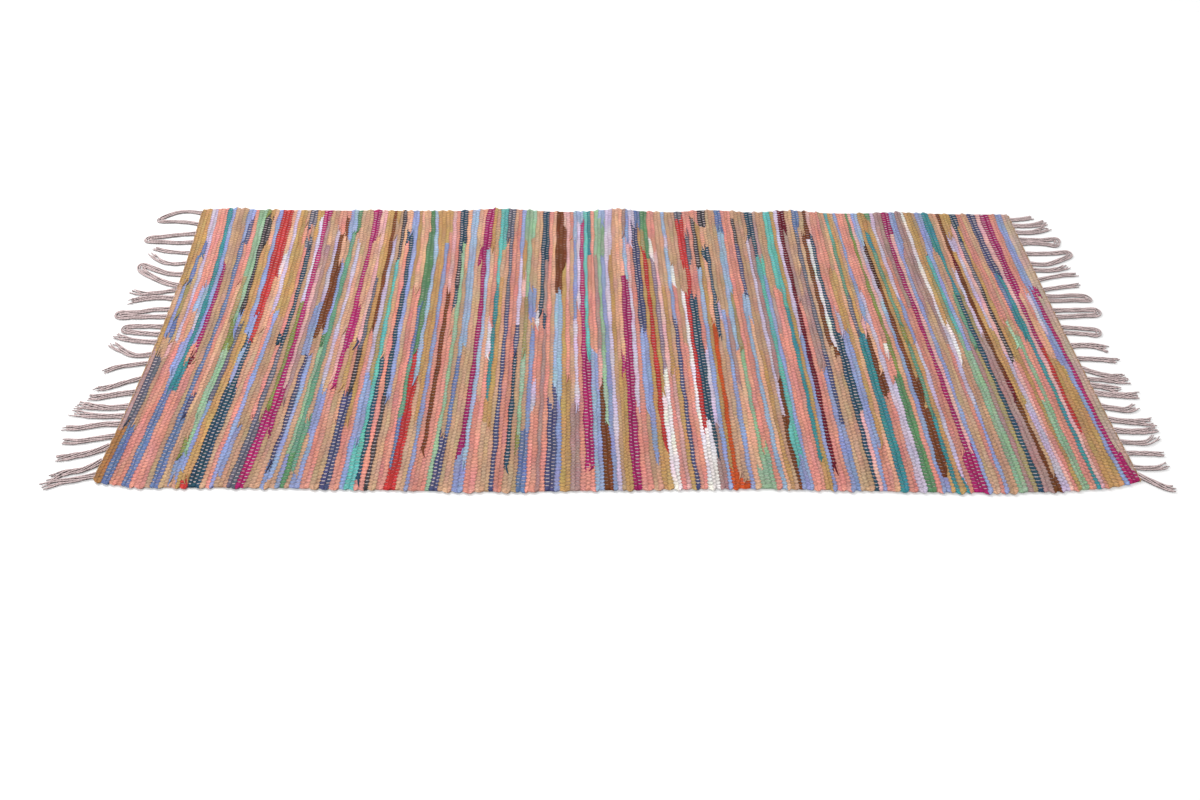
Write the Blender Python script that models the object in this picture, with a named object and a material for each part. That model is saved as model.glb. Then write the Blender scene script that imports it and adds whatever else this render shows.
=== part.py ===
"""A hand-woven rag rug lying on the floor, with the warp fringe of its two ends.

Metres, +Z up. The origin is on the floor, under the middle of the rug. +X runs along the rug's
length, across its rows of rag weft, and +Y runs from the front selvedge to the back one.
"""

import math
from collections import namedtuple

import bmesh
import bpy
import numpy as np

MM = 0.001

# The woven cloth
END_CORNER = 0.8007  # how far the cloth's corners lie from the middle, along the length
LEFT_BOW = 0.014  # how far the left end is drawn in between its corners
RIGHT_BOW = 0.005
RIGHT_SKEW = 0.005  # the right end leans this much at each corner
FRONT_EDGE = -0.407
BACK_EDGE = 0.411
FRONT_CORNER_RISE = 0.020  # the front selvedge draws in this much at its two corners
CORNER_SHARPNESS = 16
EDGE_SWAY = 0.004  # slow swing of the front selvedge
EDGE_SWAY_LENGTH = 0.75
EDGE_SWAY_START = -0.194
SCALLOP_DEPTH = 0.0025  # a weft loop stands out this far where it turns at a selvedge
ROW_WANDER = 0.0016  # sideways drift of the weft rows
ROW_WANDER_LENGTH = 0.47
ROW_WANDER_DRIFT = 0.21

WEFT_ROWS = 232  # rows of rag strip, every one of them raised
ROW_CREST = 0.0054
ROW_GROOVE = 0.0040
ROW_UNEVENNESS = 0.0004  # the rags differ this much in thickness
THICKNESS_SWING = 0.61
THICKNESS_CHANGE = 3.0
RIM_HEIGHT = 0.0026  # widest point of the rounded edge, above the floor
UNDERSIDE_INSET = 0.0018
UNDERSIDE_STEP = 8  # ribbed columns to each column of the plain underside

# Where the ribbed top and the plain underside have their lines of points, front 0 to back 1
TOP_LINES = (0.0, 0.004, 0.17, 0.38, 0.58, 0.78, 0.88, 0.94, 0.996, 1.0)
UNDERSIDE_LINES = (0.0, 0.17, 0.38, 0.58, 0.78, 0.88, 0.94, 1.0)

# Low humps where the back selvedge doesn't lie down
Hump = namedtuple("Hump", "x lift spread")
BACK_HUMPS = (
    Hump(x=-0.745, lift=0.0025, spread=0.040),
    Hump(x=-0.212, lift=0.0060, spread=0.060),
    Hump(x=0.017, lift=0.0070, spread=0.045),
    Hump(x=0.200, lift=0.0060, spread=0.055),
    Hump(x=0.362, lift=0.0055, spread=0.050),
    Hump(x=0.576, lift=0.0030, spread=0.060),
)
HUMP_REACH = 0.17  # how far a hump runs in from the back selvedge

# The fringe: a heading strip of warp yarn with locks of two strands each
HEADING_GAP = 0.0003
HEADING_WIDTH = 0.005
HEADING_HEIGHT = 0.0034
STRAND_WIDTH = 0.0036
STRAND_GAP = 0.0006
STRAND_HEIGHT = 0.0031
STRAND_TOP_SHARE = 0.6  # a strand's top is this much of its width
STRAND_SECTIONS = 6
FORK = 0.0016  # each strand of a lock is this far aside at the tip
SHORTER_STRAND = 0.93
ROOT_FULLNESS = 0.85
TIP_FULLNESS = 0.62

# Each lock, back to front, in millimetres: y where it leaves the heading, y at a third and at two
# thirds of its reach, y of its tip, and how far its tip reaches from the heading
Lock = namedtuple("Lock", "root near far tip reach")
LEFT_LOCKS = (
    Lock(401, 406, 402, 381, 71),
    Lock(359, 366, 368, 369, 72),
    Lock(325, 320, 314, 307, 82),
    Lock(293, 291, 293, 296, 81),
    Lock(255, 257, 262, 272, 71),
    Lock(220, 217, 228, 257, 74),
    Lock(182, 184, 198, 212, 77),
    Lock(144, 154, 172, 196, 77),
    Lock(131, 122, 118, 126, 80),
    Lock(103, 105, 101, 92, 79),
    Lock(69, 67, 58, 57, 81),
    Lock(45, 45, 44, 44, 81),
    Lock(15, 16, 16, 14, 60),
    Lock(-8, -6, -3, 2, 60),
    Lock(-31, -29, -23, -11, 75),
    Lock(-66, -70, -54, -32, 78),
    Lock(-91, -96, -103, -118, 70),
    Lock(-133, -145, -158, -163, 70),
    Lock(-171, -176, -183, -186, 73),
    Lock(-208, -212, -209, -204, 84),
    Lock(-233, -234, -231, -222, 86),
    Lock(-253, -255, -263, -264, 88),
    Lock(-283, -290, -297, -296, 79),
    Lock(-308, -324, -332, -339, 73),
    Lock(-343, -364, -371, -388, 71),
    Lock(-376, -386, -393, -405, 74),
)
RIGHT_LOCKS = (
    Lock(393, 395, 399, 405, 45),
    Lock(372, 371, 376, 387, 70),
    Lock(347, 346, 352, 368, 68),
    Lock(320, 319, 319, 322, 71),
    Lock(305, 307, 305, 300, 63),
    Lock(269, 269, 271, 275, 78),
    Lock(234, 231, 243, 262, 80),
    Lock(212, 210, 215, 229, 71),
    Lock(177, 187, 195, 197, 79),
    Lock(144, 151, 157, 162, 74),
    Lock(124, 124, 127, 125, 70),
    Lock(109, 109, 111, 111, 73),
    Lock(78, 79, 80, 80, 76),
    Lock(57, 59, 62, 65, 73),
    Lock(26, 24, 21, 17, 60),
    Lock(9, 7, 5, 2, 55),
    Lock(-31, -29, -31, -41, 63),
    Lock(-68, -69, -71, -75, 71),
    Lock(-96, -110, -118, -116, 66),
    Lock(-126, -128, -132, -131, 69),
    Lock(-143, -146, -151, -158, 31),
    Lock(-164, -169, -171, -170, 75),
    Lock(-200, -206, -209, -197, 58),
    Lock(-234, -239, -241, -240, 73),
    Lock(-262, -265, -264, -258, 70),
    Lock(-291, -293, -292, -275, 64),
    Lock(-319, -319, -320, -321, 61),
    Lock(-352, -355, -354, -346, 55),
    Lock(-371, -386, -400, -403, 49),
)

RAG_COLOUR = (0.52, 0.33, 0.24)
YARN_COLOUR = (0.46, 0.38, 0.35)
COTTON_ROUGHNESS = 0.95


def clear_scene():
    """An empty scene to build in."""
    for obj in list(bpy.data.objects):
        bpy.data.objects.remove(obj, do_unlink=True)


def cotton(name, colour):
    """A plain, matt cotton material."""
    material = bpy.data.materials.new(name)
    material.use_nodes = True
    shader = material.node_tree.nodes["Principled BSDF"]
    shader.inputs["Base Color"].default_value = (*colour, 1.0)
    shader.inputs["Roughness"].default_value = COTTON_ROUGHNESS
    shader.inputs["Metallic"].default_value = 0.0
    return material


def left_end(across):
    """X of the cloth's left end; across runs from -1 at the front corner to 1 at the back one."""
    return -END_CORNER + LEFT_BOW * (1 - across**2)


def right_end(across):
    """X of the cloth's right end, bowed and a little askew."""
    return END_CORNER - RIGHT_BOW * (1 - across**2) - RIGHT_SKEW * across


def front_selvedge(x):
    """Y of the front selvedge, without its scallops: a slow swing, drawn in at the corners."""
    sway = EDGE_SWAY * np.cos(math.tau * (x - EDGE_SWAY_START) / EDGE_SWAY_LENGTH)
    rise = FRONT_CORNER_RISE * np.abs(x / END_CORNER) ** CORNER_SHARPNESS
    return FRONT_EDGE - sway * (1 - np.abs(x / END_CORNER) ** CORNER_SHARPNESS) + rise


def hump_lift(x, y):
    """How high the cloth stands off the floor: a bell along the back selvedge, fading inwards."""
    inwards = np.clip((y - (BACK_EDGE - HUMP_REACH)) / HUMP_REACH, 0, 1)
    fade = inwards * inwards * (3 - 2 * inwards)
    bells = sum(h.lift * np.exp(-(((x - h.x) / h.spread) ** 2)) for h in BACK_HUMPS)
    return fade * bells


def place(along, across, inset=0.0):
    """X and Y on the cloth. along runs 0 to 1 over the length and across 0 to 1 front to back."""
    span = 2 * across - 1
    x = left_end(span) + inset + along * (right_end(span) - left_end(span) - 2 * inset)
    front = front_selvedge(x) + inset
    y = front + across * (BACK_EDGE - inset - front)
    inner = 1 - (2 * along - 1) ** 2
    phase = math.tau * (y / ROW_WANDER_LENGTH + x / ROW_WANDER_DRIFT)
    return x + ROW_WANDER * inner * np.sin(phase), y


def ribbed_top():
    """Points of the top, columns along the length by lines across it.

    Two columns to a weft row, its crest and the groove beside it. The outermost line and column
    are the rounded edge, and each pair of rows turns in one loop that stands out at the selvedge.
    """
    columns = 2 * WEFT_ROWS + 1
    column = np.arange(columns)[:, None]
    line = np.array(TOP_LINES)[None, :]
    x, y = place(column / (columns - 1), line)
    turn = SCALLOP_DEPTH * np.abs(np.sin(math.pi * column / 4))
    y = y + np.where(line == 0, -turn, 0) + np.where(line == 1, turn, 0)
    thick = ROW_UNEVENNESS * np.sin(THICKNESS_SWING * column + THICKNESS_CHANGE * line)
    height = np.where(column % 2 == 1, ROW_CREST, ROW_GROOVE) + thick
    edge = (line == 0) | (line == 1) | (column == 0) | (column == columns - 1)
    height = np.where(edge, RIM_HEIGHT, height)
    return np.stack([x, y, height + hump_lift(x, y)], axis=2)


def plain_underside():
    """Points of the underside, on the floor but for the humps, a little inside the top's edge."""
    columns = 2 * WEFT_ROWS // UNDERSIDE_STEP + 1
    along = np.linspace(0, 1, columns)[:, None]
    x, y = place(along, np.array(UNDERSIDE_LINES)[None, :], UNDERSIDE_INSET)
    return np.stack([x, y, hump_lift(x, y)], axis=2)


def grid_faces(shape, first):
    """Quads of a grid of points that are numbered from first, along its second axis."""
    rows, cols = shape
    return [
        (first + i * cols + j, first + (i + 1) * cols + j,
         first + (i + 1) * cols + j + 1, first + i * cols + j + 1)
        for i in range(rows - 1)
        for j in range(cols - 1)
    ]


def rim(shape, first, lines):
    """The border of a grid, once round from its front left corner, as (place, number) pairs.

    place runs 0 to 4, one for each of the cloth's sides: front, right end, back, left end.
    """
    columns, cols = shape
    last = columns - 1
    front = [(i / last, first + i * cols) for i in range(last)]
    right = [(1 + lines[j], first + last * cols + j) for j in range(cols - 1)]
    back = [(3 - i / last, first + i * cols + cols - 1) for i in range(last, 0, -1)]
    left = [(4 - lines[j], first + j) for j in range(cols - 1, 0, -1)]
    return front + right + back + left


def sewn_rims(upper, lower):
    """Triangles between two closed rims that have different numbers of points."""
    upper = upper + [(4.0, upper[0][1])]
    lower = lower + [(4.0, lower[0][1])]
    faces, i, j = [], 0, 0
    while i < len(upper) - 1 or j < len(lower) - 1:
        next_upper = upper[i + 1][0] if i < len(upper) - 1 else math.inf
        next_lower = lower[j + 1][0] if j < len(lower) - 1 else math.inf
        if next_upper <= next_lower:
            faces.append((upper[i][1], upper[i + 1][1], lower[j][1]))
            i += 1
        else:
            faces.append((upper[i][1], lower[j + 1][1], lower[j][1]))
            j += 1
    return faces


def solid_object(name, points, faces, material):
    """A closed mesh object with its faces turned outwards."""
    mesh = bpy.data.meshes.new(name)
    mesh.from_pydata(points, [], faces)
    bm = bmesh.new()
    bm.from_mesh(mesh)
    bmesh.ops.recalc_face_normals(bm, faces=bm.faces)
    bm.to_mesh(mesh)
    bm.free()
    mesh.materials.append(material)
    obj = bpy.data.objects.new(name, mesh)
    bpy.context.scene.collection.objects.link(obj)
    return obj


def woven_cloth(material):
    """The cloth, in one piece: a ribbed top and a plain underside, sewn together at the rim."""
    top = ribbed_top()
    under = plain_underside()
    first_under = top.shape[0] * top.shape[1]
    faces = grid_faces(top.shape[:2], 0)
    faces += grid_faces(under.shape[:2], first_under)
    faces += sewn_rims(
        rim(top.shape[:2], 0, TOP_LINES),
        rim(under.shape[:2], first_under, UNDERSIDE_LINES),
    )
    points = np.concatenate([top.reshape(-1, 3), under.reshape(-1, 3)])
    return solid_object("woven_cloth", points.tolist(), faces, material)


def cloth_end(side, y):
    """X of the cloth's end at y, along the straight stretches between the top's lines."""
    along = 0.0 if side < 0 else 1.0
    end_x, end_y = place(np.full(len(TOP_LINES), along), np.array(TOP_LINES))
    return float(np.interp(y, end_y, end_x))


def strand_path(side, lock, offset, length_share):
    """Centre points of a strand: a cubic through the lock's four charted points, moved sideways.

    The sideways offset is square to the cubic, and grows towards the tip, where the lock forks.
    """
    charted = np.array([lock.root, lock.near, lock.far, lock.tip]) * MM
    cubic = np.polyfit(np.arange(4) / 3, charted, 3)
    t = length_share * np.arange(STRAND_SECTIONS + 1) / STRAND_SECTIONS
    reach = lock.reach * MM
    slope = np.polyval(np.polyder(cubic), t)
    run = np.hypot(reach, slope)
    aside = offset + math.copysign(FORK, offset) * t**3
    x = cloth_end(side, lock.root * MM) + side * (HEADING_GAP + HEADING_WIDTH + reach * t)
    y = np.polyval(cubic, t)
    return np.stack([x - side * aside * slope / run, y + aside * reach / run], axis=1)


def fullness(t):
    """A strand's thickness along its length: drawn in at the root, full in the middle, thin tip."""
    if t < 0.5:
        return ROOT_FULLNESS + (1 - ROOT_FULLNESS) * 2 * t
    return 1 - (1 - TIP_FULLNESS) * (2 * t - 1) ** 2


def add_strand(points, faces, root_face, side, path):
    """Extrudes a root face of the heading along a strand's path, with four sides and a blunt tip."""
    previous = root_face
    last = len(path) - 1
    for section in range(1, last + 1):
        ahead = path[min(section + 1, last)] - path[section - 1]
        ahead = ahead / np.linalg.norm(ahead)
        across = np.array([-ahead[1], ahead[0]]) * side
        size = fullness(section / last)
        half = size * STRAND_WIDTH / 2
        top = size * STRAND_HEIGHT
        first = len(points)
        for share, z in ((-1, 0), (1, 0), (STRAND_TOP_SHARE, top), (-STRAND_TOP_SHARE, top)):
            x, y = path[section] + across * share * half
            points.append((x, y, z))
        ring = tuple(range(first, first + 4))
        for k in range(4):
            faces.append((previous[k], previous[(k + 1) % 4], ring[(k + 1) % 4], ring[k]))
        previous = ring
    faces.append(previous)


def fringe(name, side, locks, material):
    """A heading strip along one end, and the strands that grow from its outer face."""
    strands = []
    half_pair = (STRAND_WIDTH + STRAND_GAP) / 2
    for number, lock in enumerate(sorted(locks, key=lambda lock: lock.root)):
        for offset in (-half_pair, half_pair):
            short = (offset < 0) == (number % 2 == 0)
            path = strand_path(side, lock, offset, SHORTER_STRAND if short else 1.0)
            strands.append((lock.root * MM + offset, path))

    end_y = (front_selvedge(side * END_CORNER) + UNDERSIDE_INSET, BACK_EDGE - UNDERSIDE_INSET)
    stations = [end_y[0]]
    for centre, _ in strands:
        stations += [centre - STRAND_WIDTH / 2, centre + STRAND_WIDTH / 2]
    stations.append(end_y[1])

    points, faces = [], []
    for y in stations:
        inner = cloth_end(side, y) + side * HEADING_GAP
        outer = inner + side * HEADING_WIDTH
        points += [(outer, y, 0.0), (outer, y, HEADING_HEIGHT)]
        points += [(inner, y, HEADING_HEIGHT), (inner, y, 0.0)]
    for station in range(len(stations) - 1):
        here, ahead = 4 * station, 4 * station + 4
        for k in (1, 2, 3):
            faces.append((here + k, here + (k + 1) % 4, ahead + (k + 1) % 4, ahead + k))
        outer_face = (here, ahead, ahead + 1, here + 1)
        is_root = station % 2 == 1
        if is_root:
            add_strand(points, faces, outer_face, side, strands[station // 2][1])
        else:
            faces.append(outer_face)
    faces.append((0, 1, 2, 3))
    faces.append(tuple(range(4 * len(stations) - 4, 4 * len(stations))))
    return solid_object(name, points, faces, material)


def main():
    clear_scene()
    rags = cotton("rag_cotton", RAG_COLOUR)
    yarn = cotton("warp_yarn", YARN_COLOUR)
    woven_cloth(rags)
    fringe("fringe_left", -1, LEFT_LOCKS, yarn)
    fringe("fringe_right", 1, RIGHT_LOCKS, yarn)


main()
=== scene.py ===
"""The looks of a hand-woven rag rug: rag rows, warp ends and fringe, in the frame of its solids.

Metres, +Z up. +X runs along the rug's length, across its rows of rag, and +Y runs from the front
selvedge to the back one. The floor is at Z = 0.
"""

import math
from collections import namedtuple

import bpy
import numpy as np
from bpy.props import FloatProperty, FloatVectorProperty, IntProperty, PointerProperty
from mathutils import Matrix, Vector


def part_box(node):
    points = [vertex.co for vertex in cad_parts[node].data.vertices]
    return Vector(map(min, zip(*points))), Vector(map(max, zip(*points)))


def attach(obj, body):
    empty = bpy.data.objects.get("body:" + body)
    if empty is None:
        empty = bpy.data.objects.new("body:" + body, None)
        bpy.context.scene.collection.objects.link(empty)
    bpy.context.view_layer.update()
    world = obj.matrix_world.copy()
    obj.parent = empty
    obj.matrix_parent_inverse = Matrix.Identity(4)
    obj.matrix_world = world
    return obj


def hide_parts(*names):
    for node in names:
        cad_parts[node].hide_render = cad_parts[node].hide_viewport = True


bl_info = {
    "name": "Rag rug",
    "version": (1, 0, 0),
    "blender": (4, 5, 0),
    "location": "3D View > Sidebar > Rag Rug",
    "description": "Weaves a rag rug with its warp fringe and lays it on a studio floor",
    "category": "Add Mesh",
}

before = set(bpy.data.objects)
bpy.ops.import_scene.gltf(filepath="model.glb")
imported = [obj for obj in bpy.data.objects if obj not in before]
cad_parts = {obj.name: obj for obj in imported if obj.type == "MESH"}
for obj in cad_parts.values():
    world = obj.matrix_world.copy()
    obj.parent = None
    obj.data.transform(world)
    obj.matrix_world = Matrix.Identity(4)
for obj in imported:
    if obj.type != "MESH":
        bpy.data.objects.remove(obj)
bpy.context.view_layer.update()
CLOTH_LOW, CLOTH_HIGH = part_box("woven_cloth")

MM = 0.001

# The outline of the cloth, as its solid has it
END_CORNER = 0.8007
LEFT_BOW = 0.014
RIGHT_BOW = 0.005
RIGHT_SKEW = 0.005
FRONT_EDGE = -0.407
BACK_EDGE = 0.411
FRONT_CORNER_RISE = 0.020
CORNER_SHARPNESS = 16
EDGE_SWAY = 0.004
EDGE_SWAY_LENGTH = 0.75
EDGE_SWAY_START = -0.194

# Low humps where the back selvedge doesn't lie down
Hump = namedtuple("Hump", "x lift spread")
BACK_HUMPS = (
    Hump(x=-0.745, lift=0.0025, spread=0.040),
    Hump(x=-0.212, lift=0.0060, spread=0.060),
    Hump(x=0.017, lift=0.0070, spread=0.045),
    Hump(x=0.200, lift=0.0060, spread=0.055),
    Hump(x=0.362, lift=0.0055, spread=0.050),
    Hump(x=0.576, lift=0.0030, spread=0.060),
)
HUMP_REACH = 0.17

# The weave
WEFT_ROWS = 232
WARP_ENDS = 195
FIRST_WARP_END = 0.006  # share of the cloth's width outside the first warp end
EDGE_LINES = (0.0, 0.0012, 0.0034)  # where a row rounds off at a selvedge, as shares of the width
EDGE_FULLNESS = (0.22, 0.68, 0.93)
RIM_HEIGHT = 0.0026
GROUND_TOP = 0.0042
GROUND_RIB = 0.0007
GROUND_LINES = 34
ROW_JOIN = 0.0055  # height of the groove between two rows
TURN_UNEVENNESS = 0.7  # how much the loops at a selvedge differ, as a share of their depth
TURN_DEPTH = 0.0040
SELVEDGE_WANDER = 0.0035
SELVEDGE_WAVES = (6.1, 11.3, 19.7, 37.0)  # how many times it wanders in and out along the rug
JOIN_WAVES = (2.3, 4.7, 8.1, 13.3)  # how many times the join between two rows strays across the rug
CREST_WAVES = (1.3, 4.1, 11.0, 23.0)  # the same for the height of a row's crest
WHOLE_ROW_PART = 6  # a join strays as a whole by one part in this many of its wobble
CALM_ROWS = 3  # rows at either end over which the straying fades in

# Round a row: places from its one side to the other, and how high each is from groove to crest.
# The last place is its keel, hidden in the ground weave.
ROW_SHARES = (-1.0, -0.46, 0.46, 1.0, 0.0)
ROW_HEIGHTS = (0.0, 1.0, 1.0, 0.0, 0.0)
ROW_KEEL = 0.0037
ROW_PAINTED_SHADING = (0.74, 1.06, 1.06, 0.74, 0.74)  # factors on the dye at each place: painted shade in a groove, painted highlight on the crest
# Painted light on the rows: a painted highlight where a rag rises over a warp end, painted shade
# where one presses it
RAISED_PAINTED_HIGHLIGHT = 1.10
PRESSED_PAINTED_SHADE = 0.77
CREASE_ANGLE = math.radians(80)  # a sharper edge than this isn't shaded smooth
SOFT_BITE = 0.55  # a rag with less bite than this hides the warp ends
LEAST_PRESS = 0.5  # how deep a rag with no bite would be pressed, as a share of the full press
PLUMP_WAVES = 0.0006  # how far a row's crest rises and falls across the rug
PLUMP_ROWS = 0.0003  # how far a row's whole crest may lie above or below its height
LONGEST_SLANT = 0.024  # a rag is cut on the slant: its end is this much longer on one side
RAG_TONES = (0.88, 1.12)  # how dark or light a rag is, by chance
RAG_TINTS = (0.97, 1.03)  # the same for each part of its colour
TONE_DRIFT = 0.045  # how far the tone drifts along a row in each of two waves
SLOW_DRIFT_LENGTH = 0.19
QUICK_DRIFT_LENGTH = 0.083

# Warp ends where they pass over a rag, as spindles
WARP_LEAST_WIDTH = 0.06  # width over a soft rag, as a share of the full width
WARP_LEAST_HEIGHT = 0.25  # the same for the height
WARP_WIDTHS = (0.85, 1.15)  # the least and the greatest factor on the width, by chance
WARP_STRAY = 0.00022  # how far a spindle lies aside, by chance
WARP_RISE_STRAY = 0.0001  # how far its top lies up or down, by chance
WARP_BED = 0.0001  # how far its sides stay clear of the pressed rag
WARP_TIP_DEPTH = 0.0003  # how far its tips reach below a groove
WARP_TIPS = (-0.16, 1.16)  # where its tips lie, from 0 at a row's left join to 1 at its right one
WARP_RINGS = (0.22, 0.78)  # where its two rings lie

# Loose rag ends
TAIL_CHANCE = 0.45
TAIL_STATIONS = 6
TAIL_SIDES = 5
TAIL_RADIUS = 0.0019
TAIL_RISE = 0.0007
TAIL_DIP = 0.0012  # how far below the crest a tail starts
TAIL_START = 0.35  # how far inside its own rag it starts, as a share of its length
TAIL_TAPER = 0.6
TAIL_TIP_RADIUS = 0.0003
TAIL_DARKEST = 0.85
TAIL_TONE_SPAN = 0.25

# How far a row lies from its place at mid-width, in millimetres: it sways as it was beaten in
Sway = namedtuple("Sway", "x back mid_back mid_front front")
ROW_SWAYS = (
    Sway(-732, -17, -4, -7, -17),
    Sway(-685, -11, -2, -7, -13),
    Sway(-627, -5, 1, -11, -19),
    Sway(-550, -6, 1, -6, -22),
    Sway(-460, 3, 5, -5, -12),
    Sway(-382, -1, 0, -1, -4),
    Sway(-342, -8, 2, -3, -10),
    Sway(-283, -4, 1, -4, -14),
    Sway(-240, 2, -1, -6, -14),
    Sway(-212, 2, 1, -3, -6),
    Sway(-130, 2, 1, -2, -6),
    Sway(-53, -1, -1, 3, 5),
    Sway(-5, 0, -3, 3, 6),
    Sway(25, 0, -1, -1, 2),
    Sway(69, -6, -5, 3, 10),
    Sway(142, -6, -2, 3, 8),
    Sway(182, 0, 0, 0, 2),
    Sway(243, -4, -3, 4, 13),
    Sway(333, 1, -2, 0, 1),
    Sway(390, 3, -1, 2, 3),
    Sway(434, -2, -1, 2, 1),
    Sway(500, -10, -8, 3, 4),
    Sway(547, -2, -5, 3, 6),
    Sway(600, -5, -3, 3, 4),
    Sway(655, -2, -4, 8, 13),
    Sway(686, -3, -3, 4, 10),
    Sway(730, -9, -6, 2, 6),
    Sway(749, 1, -2, 2, 4),
    Sway(779, 0, -4, 4, 12),
)
SWAY_LEVELS = (0.4, 0.2, 0.0, -0.2, -0.4)  # the heights across the rug that the table speaks of

# The rags: the dye's red, green and blue from 0 to 255, and how hard the warp bites into the rag.
# A thick, soft rag hides the warp ends, and a thin, firm one shows them.
Rag = namedtuple("Rag", "red green blue bite")
WASHED_OUT = 0.2  # how far every dye has faded towards grey
RAGS = {
    "ochre": Rag(204, 152, 88, 0.54),
    "cinnamon": Rag(178, 116, 60, 0.54),
    "tan": Rag(205, 155, 120, 0.54),
    "beige": Rag(206, 170, 150, 0.54),
    "peach": Rag(232, 165, 130, 0.54),
    "salmon": Rag(232, 142, 125, 0.54),
    "pink": Rag(235, 170, 165, 0.54),
    "lilac": Rag(205, 185, 215, 0.54),
    "white": Rag(235, 222, 225, 0.51),
    "mauve": Rag(180, 135, 130, 0.65),
    "plum": Rag(140, 112, 135, 0.83),
    "blue": Rag(140, 155, 210, 0.6),
    "denim": Rag(95, 120, 175, 0.74),
    "sky": Rag(150, 175, 210, 0.64),
    "navy": Rag(70, 75, 120, 0.88),
    "slate": Rag(95, 95, 115, 0.83),
    "charcoal": Rag(65, 60, 65, 0.83),
    "petrol": Rag(35, 75, 100, 0.82),
    "teal": Rag(50, 145, 155, 0.6),
    "turquoise": Rag(90, 190, 180, 0.6),
    "seagreen": Rag(95, 155, 125, 0.64),
    "green": Rag(90, 145, 95, 0.64),
    "sage": Rag(145, 185, 145, 0.64),
    "mint": Rag(165, 210, 170, 0.6),
    "leaf": Rag(140, 150, 70, 0.64),
    "olive": Rag(170, 150, 95, 0.64),
    "magenta": Rag(180, 20, 100, 0.78),
    "darkred": Rag(115, 10, 35, 0.70),
    "red": Rag(215, 45, 45, 0.62),
    "orange": Rag(220, 75, 25, 0.5),
    "brown": Rag(125, 60, 25, 0.6),
    "darkbrown": Rag(75, 35, 20, 0.7),
}

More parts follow.
